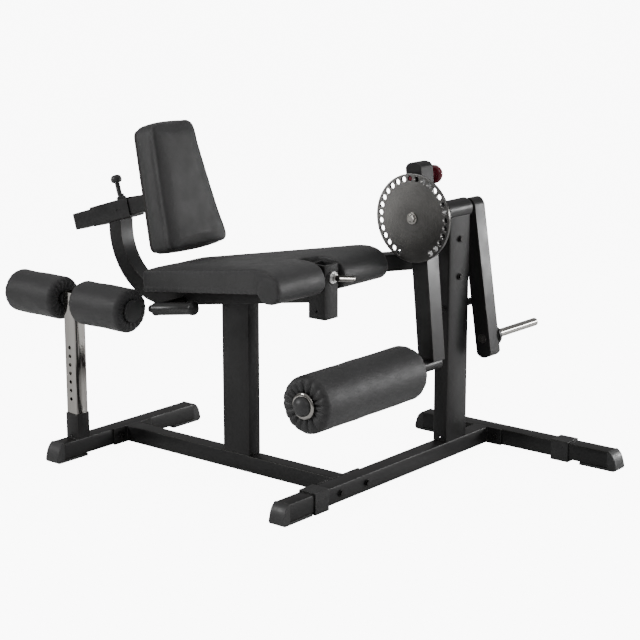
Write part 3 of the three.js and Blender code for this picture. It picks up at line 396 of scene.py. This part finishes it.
def black_oxide():
    """Steel fasteners blackened in an oil bath, a little shiny."""
    shade = Shader("black_oxide", (0.05, 0.049, 0.048), 0.36, 1.0)
    worn_color = (0.3, 0.3, 0.3, 1)
    normal, edge = shade.rounded(0.7 * MM)
    tone = shade.vary_color(shade.noise(150.0), 0.75, 1.2)
    shade.paint(shade.blend(shade.math("MULTIPLY", edge, 0.4), tone, worn_color))
    shade.vary_roughness(shade.noise(220.0), 0.28, 0.48)
    shade.bump((shade.noise(900.0), 0.015 * MM), normal=normal)
    return shade.material


def rubber():
    """Soft black rubber with a satin skin."""
    shade = Shader("rubber", (0.02, 0.02, 0.02), 0.32)
    normal, _ = shade.rounded(1.5 * MM)
    shade.vary_color(shade.noise(30.0), 0.85, 1.3)
    shade.vary_roughness(shade.noise(90.0), 0.26, 0.4)
    shade.bump((shade.noise(900.0, 4.0), 0.06 * MM), normal=normal)
    return shade.material


def black_plastic():
    """Moulded black plastic with a fine spark-eroded texture."""
    shade = Shader("black_plastic", (0.042, 0.042, 0.0425), 0.46)
    worn_color = (0.06, 0.06, 0.06, 1)
    normal, edge = shade.rounded(1.6 * MM)
    tone = shade.vary_color(shade.noise(20.0), 0.85, 1.2)
    shade.paint(shade.blend(shade.math("MULTIPLY", edge, 0.3), tone, worn_color))
    shade.vary_roughness(shade.noise(60.0), 0.34, 0.5)
    shade.bump((shade.noise(1100.0, 3.0), 0.04 * MM), normal=normal)
    return shade.material


def bush_plastic():
    """Dark nylon, a little waxy."""
    shade = Shader("bush_plastic", (0.02, 0.02, 0.021), 0.45)
    normal, _ = shade.rounded(0.6 * MM)
    shade.vary_color(shade.noise(60.0), 0.92, 1.05)
    shade.vary_roughness(shade.noise(80.0), 0.38, 0.52)
    shade.bump((shade.noise(800.0), 0.02 * MM), normal=normal)
    return shade.material


def red_plastic():
    """Glossy dark red knob."""
    shade = Shader("red_plastic", (0.15, 0.010, 0.022), 0.24)
    shade.vary_color(shade.noise(45.0), 0.88, 1.12)
    shade.vary_roughness(shade.noise(70.0), 0.16, 0.3)
    shade.bump((shade.noise(300.0), 0.02 * MM))
    shade.set("Coat Weight", 0.4)
    return shade.material


def plywood():
    """Plywood stained black, with its long grain still showing."""
    shade = Shader("plywood", (0.022, 0.020, 0.018), 0.7)
    grain_scale = (14, 140, 140)
    stretched = shade.vector_math("MULTIPLY", shade.place, grain_scale).outputs[0]
    grain = shade.noise(1.0, 6.0, 0.6, place=stretched)
    shade.vary_color(grain, 0.65, 1.2)
    shade.vary_roughness(grain, 0.6, 0.8)
    shade.bump((grain, 0.15 * MM))
    return shade.material


FINISHES = {
    "frame_paint": powder_coat,
    "vinyl": vinyl,
    "chrome": chrome,
    "cam_steel": cam_steel,
    "zinc": zinc,
    "rubber": rubber,
    "black_plastic": black_plastic,
    "bush_plastic": bush_plastic,
    "red_plastic": red_plastic,
    "plywood": plywood,
}


WELD_DISTANCE = 0.01 * MM
CAD_CORNER = 32        # degrees: a CAD edge that turns by more than this stays sharp


def smooth_round_faces(node):
    """Shades a CAD node's round faces smoothly and leaves its corners sharp."""
    flat_normals = node.data.attributes.get("custom_normal")
    if flat_normals is not None:
        node.data.attributes.remove(flat_normals)
    node.data.polygons.foreach_set("use_smooth", [True] * len(node.data.polygons))
    weld = node.modifiers.new("weld", "WELD")
    weld.merge_threshold = WELD_DISTANCE
    split = node.modifiers.new("corners", "EDGE_SPLIT")
    split.split_angle = math.radians(CAD_CORNER)
    split.use_edge_sharp = False


def dress_cad(finishes):
    """Gives every CAD node its slot's finish, and smooth shading on its round faces.

    The bolts are blackened, all but the bright one in the disc's hub.
    """
    slots = {part["node"]: part["material_slot"] for part in frame["record"]["subparts"]}
    blackened = black_oxide()
    for name, node in NODES.items():
        dark_bolt = "bolt" in name and name != "hub_bolt"
        node.data.materials.clear()
        node.data.materials.append(blackened if dark_bolt else finishes[slots[name]])
        smooth_round_faces(node)


# ---------------------------------------------------------------- building pieces

TURNED_CORNER = 42     # degrees: a turned piece's edge is sharp where it turns by more than this
DISC_CORNER = 30       # degrees: the same for the hole disc
ARC_STEPS = 8          # steps in a quarter turn of a profile
LEAST_RADIUS = 0.2 * MM


def new_piece(name, mesh, node, body, slot, finishes, sharp=None):
    """A finished piece that stands for a CAD node and rides on its body.

    It is shaded smoothly, apart from edges that turn by more than sharp degrees.
    """
    piece = bpy.data.objects.new(name, mesh)
    bpy.context.scene.collection.objects.link(piece)
    mesh.materials.clear()
    mesh.materials.append(finishes[slot])
    mesh.polygons.foreach_set("use_smooth", [True] * len(mesh.polygons))
    if sharp is not None:
        mesh.set_sharp_from_angle(angle=math.radians(sharp))
    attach(piece, body)
    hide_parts(node)
    return piece


def grid_mesh(name, rows):
    """A closed tube of quads through rings of points; the first ring joins the last."""
    count, around = len(rows), len(rows[0])
    faces = []
    for i in range(count):
        after = (i + 1) % count
        for j in range(around):
            k = (j + 1) % around
            faces.append((i * around + j, i * around + k, after * around + k, after * around + j))
    mesh = bpy.data.meshes.new(name)
    mesh.from_pydata(np.concatenate(rows).tolist(), [], faces)
    mesh.update()
    return mesh


def basis(axis):
    """Two directions at right angles to an axis and to each other."""
    axis = Vector(axis).normalized()
    side = axis.cross(Z) if abs(axis.z) < 0.9 else axis.cross(X)
    side.normalize()
    return np.array(side), np.array(axis.cross(side)), np.array(axis)


def quarter_turn():
    """Cosines and sines of a quarter turn's steps, from (1, 0) to (0, 1)."""
    angles = [math.pi / 2 * i / ARC_STEPS for i in range(ARC_STEPS + 1)]
    return [(math.cos(angle), math.sin(angle)) for angle in angles]


def turned(name, profile, centre, axis, sides, ripple=None):
    """A turned piece from (radius, distance along the axis) points that close on themselves.

    ripple(angles, radius, distance) may return (more radius, more distance) for each angle.
    """
    side, up, along = basis(axis)
    angles = np.linspace(0, 2 * math.pi, sides, endpoint=False)
    rows = []
    for radius, distance in profile:
        wide, far = (0.0, 0.0) if ripple is None else ripple(angles, radius, distance)
        reach = np.broadcast_to(np.maximum(radius + wide, LEAST_RADIUS), angles.shape)
        depth = np.broadcast_to(distance + far, angles.shape)
        rows.append(
            np.array(centre)
            + np.outer(np.cos(angles) * reach, side)
            + np.outer(np.sin(angles) * reach, up)
            + np.outer(depth, along)
        )
    mesh = grid_mesh(name, rows)
    mesh.validate()
    return outwards(mesh)


def outwards(mesh):
    """Turns a closed mesh's faces to look outwards."""
    mesh.calc_loop_triangles()
    points = vertices(mesh)
    corners = np.array([list(t.vertices) for t in mesh.loop_triangles])
    a, b, c = (points[corners[:, i]] for i in range(3))
    if np.einsum("ij,ij->i", a, np.cross(b, c)).sum() < 0:
        mesh.flip_normals()
    return mesh


# ---------------------------------------------------------------- cushions

PAD_VOXEL = 5 * MM
PAD_SHRINK = 1.5 * MM
CLOTH_STEPS = 20
CLOTH_PRESSURE = 4.0
CLOTH_STIFFNESS = 20
SWELL_SMOOTHING = 45
ROLL_RADIUS = 40 * MM


def baked(piece):
    """Replaces a piece's mesh by what its modifiers make of it."""
    depsgraph = bpy.context.evaluated_depsgraph_get()
    mesh = bpy.data.meshes.new_from_object(piece.evaluated_get(depsgraph))
    piece.modifiers.clear()
    piece.data = mesh
    mesh.polygons.foreach_set("use_smooth", [True] * len(mesh.polygons))


def normals(mesh):
    """The way that a mesh faces at each of its points, as rows of x, y, z."""
    values = np.empty(len(mesh.vertices) * 3)
    mesh.vertex_normals.foreach_get("vector", values)
    return values.reshape(-1, 3)


def move_points(mesh, points):
    """Puts a mesh's points in new places."""
    mesh.vertices.foreach_set("co", points.ravel())
    mesh.update()


def averaged(mesh, values, rounds):
    """Values at a mesh's points, each round averaged with those of their neighbours."""
    edges = np.empty(len(mesh.edges) * 2, dtype=int)
    mesh.edges.foreach_get("vertices", edges)
    first, second = edges.reshape(-1, 2).T
    count = np.bincount(edges, minlength=len(mesh.vertices))[:, None]
    for _ in range(rounds):
        total = np.zeros_like(values)
        np.add.at(total, first, values[second])
        np.add.at(total, second, values[first])
        values = (values + total / np.maximum(count, 1)) / 2
    return values


def swell(piece, held, limit):
    """Blows a cover up with a short cloth simulation. Held points stay, and none moves past the limit."""
    start = vertices(piece.data)
    group = piece.vertex_groups.new(name="held")
    group.add([int(i) for i in np.flatnonzero(held)], 1.0, "REPLACE")
    cloth = piece.modifiers.new("cloth", "CLOTH")
    cloth.settings.vertex_group_mass = group.name
    cloth.settings.quality = 4
    cloth.settings.mass = 0.4
    cloth.settings.tension_stiffness = CLOTH_STIFFNESS
    cloth.settings.compression_stiffness = CLOTH_STIFFNESS
    cloth.settings.bending_stiffness = 4
    cloth.settings.use_pressure = True
    cloth.settings.uniform_pressure_force = CLOTH_PRESSURE
    cloth.settings.effector_weights.gravity = 0
    cloth.collision_settings.use_collision = False
    cloth.collision_settings.use_self_collision = False
    scene = bpy.context.scene
    for step in range(1, CLOTH_STEPS + 1):
        scene.frame_set(step)
    depsgraph = bpy.context.evaluated_depsgraph_get()
    moved = vertices(piece.evaluated_get(depsgraph).data) - start
    scene.frame_set(1)
    piece.modifiers.clear()
    length = np.linalg.norm(moved, axis=1, keepdims=True)
    moved *= np.minimum(1, limit / np.maximum(length, 1e-9))
    moved = averaged(piece.data, moved, SWELL_SMOOTHING)
    moved[held] = 0
    move_points(piece.data, start + moved)


def cushion(name, node, body, held, finishes, limit, smooth_rounds):
    """A stuffed cover grown from a CAD pad: remeshed, softened, shrunk a little and blown up.

    held(points) says which points rest on the board and stay where they are.
    """
    piece = new_piece(name, NODES[node].data.copy(), node, body, "vinyl", finishes)
    remesh = piece.modifiers.new("remesh", "REMESH")
    remesh.mode = "VOXEL"
    remesh.voxel_size = PAD_VOXEL
    wrap = piece.modifiers.new("wrap", "SHRINKWRAP")
    wrap.target = NODES[node]
    wrap.wrap_method = "NEAREST_SURFACEPOINT"
    smooth = piece.modifiers.new("smooth", "SMOOTH")
    smooth.factor = 0.6
    smooth.iterations = smooth_rounds
    baked(piece)
    points = vertices(piece.data)
    stays = held(points)
    points[~stays] -= normals(piece.data)[~stays] * PAD_SHRINK
    move_points(piece.data, points)
    swell(piece, stays, limit)
    return piece


FAR_AWAY = 1.0         # metres: a distance that keeps a point out of a seam


def crease(piece, distance, width, depth):
    """Pulls the cover in along a seam. distance(points, facing) is how far each point is from the seam."""
    mesh = piece.data
    points, facing = vertices(mesh), normals(mesh)
    pull = np.clip(1 - distance(points, facing) / width, 0, 1) ** 2 * depth
    move_points(mesh, points - facing * pull[:, None])


def refine(piece):
    """One level of subdivision over the finished cover."""
    subdivision = piece.modifiers.new("subdivision", "SUBSURF")
    subdivision.levels = 1
    subdivision.render_levels = 1
    baked(piece)


def make_seat_pad(finishes):
    """The seat's cover: flat over its board, crowned on top, with a soft roll along the front."""
    up, forward = np.array(SEAT_UP), np.array(SEAT_FORWARD)
    board_top = span("seat_board", SEAT_UP)[1]
    board_front = span("seat_board", SEAT_FORWARD)[1]
    pad_low = span("seat_pad", SEAT_UP)[0]
    pad_front = span("seat_pad", SEAT_FORWARD)[1]
    centre_y = middle("seat_pad").y
    half_width = span("seat_pad", Y)[1] - centre_y
    held_height = board_top + 3 * MM
    held_front = board_front + 4 * MM
    seam_from_middle = half_width - 7 * MM
    seam_radius = ROLL_RADIUS - 2 * MM

    def held(points):
        return (points @ up < held_height) & (points @ forward < held_front)

    pad = cushion("seat_cover", "seat_pad", "frame", held, finishes, limit=6 * MM, smooth_rounds=8)

    def roll_seam(points, facing):
        off_end = np.abs(np.abs(points[:, 1] - centre_y) - seam_from_middle)
        behind = np.maximum(board_front - points @ forward, 0)
        on_side = np.abs(facing[:, 1]) > 0.8
        return np.hypot(off_end, behind) + np.where(on_side, FAR_AWAY, 0)

    def roll_end_seam(points, facing):
        ahead = points @ forward - (pad_front - ROLL_RADIUS)
        above = points @ up - (pad_low + ROLL_RADIUS)
        off = np.abs(np.hypot(ahead, above) - seam_radius)
        on_side = np.abs(facing[:, 1]) > 0.75
        return np.where(on_side, off, FAR_AWAY)

    crease(pad, roll_seam, width=7 * MM, depth=1.6 * MM)
    crease(pad, roll_end_seam, width=6 * MM, depth=2 * MM)
    refine(pad)


def make_back_pad(finishes):
    """The back rest's cover, crowned in front and seamed round its front face."""
    forward = np.array(BACK_FORWARD)
    back, front = span("back_pad", BACK_FORWARD)
    held_depth = back + 7 * MM
    seam_depth = front - 17 * MM

    def held(points):
        return points @ forward < held_depth

    pad = cushion("back_cover", "back_pad", "back_rest", held, finishes, limit=7 * MM, smooth_rounds=7)

    def seam(points, facing):
        off = np.abs(points @ forward - seam_depth)
        on_edge = np.abs(facing @ forward) < 0.9
        return np.where(on_edge, off, FAR_AWAY)

    crease(pad, seam, width=8 * MM, depth=3 * MM)
    refine(pad)


ROLLER_SIDES = 240
ROLLER_INSET = 0.5 * MM


def pleats(seed, radius, half, deep, count):
    """Gathered folds of a roller's ends, where the cover is drawn in towards the axle.

    Returns the ripple that turned() takes: slack all along the barrel, and pleats on both ends.
    """
    source = np.random.default_rng(seed)
    phase = source.uniform(0, 2 * math.pi, 6)
    waver = source.uniform(0.1, 0.35, 2)

    def folds(angles, end):
        """How high the cover stands at each angle: 0 in a fold, 1 on a ridge, unevenly spaced."""
        turn = angles + waver[0] * np.sin(2 * angles + phase[0]) / count * 4
        turn += waver[1] * np.sin(3 * angles + phase[1] + end) / count * 3
        return np.abs(np.sin(turn * count / 2 + phase[2] * end)) ** 0.6

    def slackness(angles, distance):
        """Long shallow waves of a cover that isn't quite tight."""
        wide = 0.5 * MM * np.sin(3 * angles + distance * 40 + phase[4])
        return wide + 0.35 * MM * np.sin(7 * angles - distance * 63 + phase[5])

    def ripple(angles, from_axis, distance):
        end = np.sign(distance)
        relief = folds(angles, end) - 0.75
        uneven = 0.75 + 0.25 * np.sin(5 * angles + phase[3] + end)
        on_end = np.clip((abs(distance) - (half - 0.34 * radius)) / (0.3 * radius), 0, 1)
        towards_axle = np.clip(1.25 - from_axis / radius, 0.12, 0.8)
        depth = deep * on_end * uneven * relief
        on_shoulder = from_axis > 0.55 * radius
        on_barrel = from_axis > 0.9 * radius
        sag = deep * 0.14 * on_end * relief * on_shoulder
        return slackness(angles, distance) * on_barrel + sag, depth * end * towards_axle * 1.6

    return ripple


def make_roller(name, node, body, axis, finishes, seed, count, deep):
    """A foam roller whose cover is gathered into pleats at both ends."""
    low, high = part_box(node)
    long_way = "xyz".index(axis)
    half = (high[long_way] - low[long_way]) / 2
    radius = (high.z - low.z) / 2
    bore = radius * 0.27
    lip = 0.16 * radius
    shoulder = 0.24 * radius
    outline = [(radius, half * share) for share in (0.0, 0.2, 0.4, 0.6, 0.75)]
    for across, along in quarter_turn():
        outline.append((
            radius - shoulder * (1 - across),
            half - shoulder + shoulder * along - ROLLER_INSET,
        ))
    for i in range(1, ARC_STEPS + 1):
        share = i / ARC_STEPS
        outline.append((
            (radius - shoulder) * (1 - share) + bore * share,
            half - ROLLER_INSET - lip * share ** 2,
        ))
    core = [(bore, half * share) for share in (0.6, 0.0)]
    front = outline + core
    back = [(r, -d) for r, d in reversed(front[:-1])][:-1]
    ripple = pleats(seed, radius, half, deep, count)
    mesh = turned(name, front + back, middle(node), (X, Y, Z)[long_way], ROLLER_SIDES, ripple)
    piece = new_piece(name, mesh, node, body, "vinyl", finishes)


# ---------------------------------------------------------------- disc, knobs, caps and grips

HOLE_COUNT = 27
HOLE_RADIUS = 8 * MM
HUB_BORE_RADIUS = 13.2 * MM
DISC_CHAMFER = 0.7 * MM


def make_cam_disc(finishes):
    """The hole disc as a filled outline with round holes and chamfered edges.

    Its holes lie round the pivot on the locking pin's circle. They are one setting of the lever apart,
    which is how far the lever goes back from rest.
    """
    low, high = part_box("cam_disc")
    radius = (high.z - low.z) / 2
    chamfer = DISC_CHAMFER
    pin = middle("cam_pin") - PIVOT
    circle = math.hypot(pin.x, pin.z)
    pin_angle = math.atan2(pin.x, pin.z)
    step = math.radians(-JOINTS["lever_setting"]["range_deg"][0])

    curve = bpy.data.curves.new("hole_disc", "CURVE")
    curve.dimensions = "2D"
    curve.fill_mode = "BOTH"
    curve.extrude = (high.y - low.y) / 2 - chamfer
    curve.bevel_depth = chamfer
    curve.bevel_resolution = 1

    def add_circle(x, z, r, sides):
        spline = curve.splines.new("POLY")
        spline.points.add(sides - 1)
        for i, point in enumerate(spline.points):
            turn = 2 * math.pi * i / sides
            point.co = (x + r * math.cos(turn), z + r * math.sin(turn), 0, 1)
        spline.use_cyclic_u = True

    add_circle(0, 0, radius - chamfer, sides=160)
    add_circle(0, 0, HUB_BORE_RADIUS + chamfer, sides=48)
    for i in range(HOLE_COUNT):
        angle = pin_angle + (i - (HOLE_COUNT - 1) / 2) * step
        add_circle(circle * math.sin(angle), circle * math.cos(angle), HOLE_RADIUS + chamfer, sides=32)

    holder = bpy.data.objects.new("hole_disc_outline", curve)
    bpy.context.scene.collection.objects.link(holder)
    bpy.context.view_layer.update()
    mesh = bpy.data.meshes.new_from_object(holder.evaluated_get(bpy.context.evaluated_depsgraph_get()))
    bpy.data.objects.remove(holder)
    place = Vector((PIVOT.x, (low.y + high.y) / 2, PIVOT.z))
    mesh.transform(Matrix.Translation(place) @ Matrix.Rotation(math.pi / 2, 4, "X"))
    new_piece("hole_disc", mesh, "cam_disc", "cam", "cam_steel", finishes, sharp=DISC_CORNER)


GROOVE_PITCH = 3 * MM
GROOVE_DEPTH = 0.9 * MM
MUSHROOM = (    # shares of the knob's radius and height, from its underside to the top of its dome
    (0.72, 0), (0.93, 0.14), (1, 0.34), (0.98, 0.54), (0.88, 0.76), (0.66, 0.92), (0.35, 0.985), (0, 1),
)


def make_pull_pin(name, node, body, axis, slot, finishes, plunger, neck, neck_length, radius, height):
    """A pull pin: a plain plunger, a grooved neck and a domed mushroom knob."""
    low, high = span(node, axis)
    head = high - height
    shoulder = head - neck_length
    profile = [(0, low), (plunger - MM, low), (plunger, low + MM), (plunger, shoulder), (neck, shoulder)]
    grooves = int(neck_length / GROOVE_PITCH)
    for i in range(grooves):
        groove = shoulder + neck_length * (i + 0.5) / grooves
        profile += [(neck, groove - MM), (neck - GROOVE_DEPTH, groove), (neck, groove + MM)]
    profile.append((neck, head))
    for share_out, share_up in MUSHROOM:
        profile.append((radius * share_out, head + height * share_up))
    mesh = turned(name, profile, centre_line(node, axis), axis, sides=48)
    new_piece(name, mesh, node, body, slot, finishes, sharp=TURNED_CORNER)


def make_grip(name, node, finishes):
    """A smooth rubber grip with a flange at its root and a rounded end."""
    low, high = span(node, SEAT_FORWARD)
    box_low, box_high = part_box(node)
    radius = (box_high.y - box_low.y) / 2
    bore = radius * 0.6
    waist = radius - 1.5 * MM
    corner = 2 * MM
    flange_end, waist_start = low + 6 * MM, low + 9 * MM
    waist_end, knob_start = high - 24 * MM, high - 20 * MM
    dome = 13 * MM
    bore_end = high - 6 * MM
    profile = [(bore, low), (radius - corner, low), (radius, low + corner), (radius, flange_end)]
    profile += [(waist, waist_start), (waist, waist_end), (radius, knob_start)]
    for across, along in quarter_turn():
        profile.append((radius * across, high - dome + dome * along))
    profile += [(0, bore_end), (bore, bore_end)]
    mesh = turned(name, profile, centre_line(node, SEAT_FORWARD), SEAT_FORWARD, sides=56)
    new_piece(name, mesh, node, "frame", "rubber", finishes, sharp=TURNED_CORNER)


WASHER_HOLE_RADIUS = 19.3 * MM
CAP_DEPTH = 18 * MM
CAP_PLUG_RADIUS = 15.5 * MM


def make_roller_washer(finishes):
    """Chrome washer on the roller's free end: flat, with a rim that slopes back."""
    low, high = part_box("roller_washer")
    radius = (high.z - low.z) / 2
    thick = high.y - low.y
    profile = [
        (WASHER_HOLE_RADIUS, low.y),
        (radius - 9 * MM, low.y),
        (radius - 4 * MM, low.y + thick * 0.1),
        (radius - MM, low.y + thick * 0.4),
        (radius, low.y + thick * 0.75),
        (radius - MM, high.y),
        (WASHER_HOLE_RADIUS, high.y),
    ]
    mesh = turned("roller_ring", profile, centre_line("roller_washer", Y), Y, sides=72)
    new_piece("roller_ring", mesh, "roller_washer", "lever", "chrome", finishes, sharp=TURNED_CORNER)


def make_roller_cap(finishes):
    """Black domed cap in the washer, with a plug that goes into the axle's end."""
    low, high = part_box("roller_end_cap")
    radius = (high.z - low.z) / 2
    rim = low.y + CAP_DEPTH + 0.6 * MM
    profile = []
    for across, along in quarter_turn():
        profile.append((radius * along, low.y + CAP_DEPTH * (1 - across)))
    profile += [(radius, rim), (CAP_PLUG_RADIUS, rim), (CAP_PLUG_RADIUS, high.y), (0, high.y)]
    mesh = turned("roller_cap", profile, centre_line("roller_washer", Y), Y, sides=56)
    new_piece("roller_cap", mesh, "roller_end_cap", "lever", "black_plastic", finishes, sharp=TURNED_CORNER)


# ---------------------------------------------------------------- making it all

add_camera()
finishes = {slot: make() for slot, make in FINISHES.items()}
dress_cad(finishes)
add_world()
add_lights()
add_floor()

make_seat_pad(finishes)
make_back_pad(finishes)
make_roller("leg_roller", "roller_foam", "roller", "y", finishes, seed=3, count=17, deep=9 * MM)
make_roller("hold_down_foam_front", "foam_front", "foam_front", "x", finishes, seed=5, count=19, deep=5 * MM)
make_roller("hold_down_foam_rear", "foam_rear", "foam_rear", "x", finishes, seed=8, count=19, deep=5 * MM)
make_cam_disc(finishes)
make_pull_pin("lever_pin", "cam_pin", "cam_pin", Y, "red_plastic", finishes,
              plunger=6 * MM, neck=8 * MM, neck_length=13 * MM, radius=27 * MM, height=24 * MM)
make_pull_pin("back_rest_pin", "back_pin", "back_pin", BACK_UP, "black_plastic", finishes,
              plunger=5 * MM, neck=8 * MM, neck_length=35 * MM, radius=17 * MM, height=24 * MM)
make_grip("near_grip", "grip_near", finishes)
make_grip("far_grip", "grip_far", finishes)
make_roller_washer(finishes)
make_roller_cap(finishes)
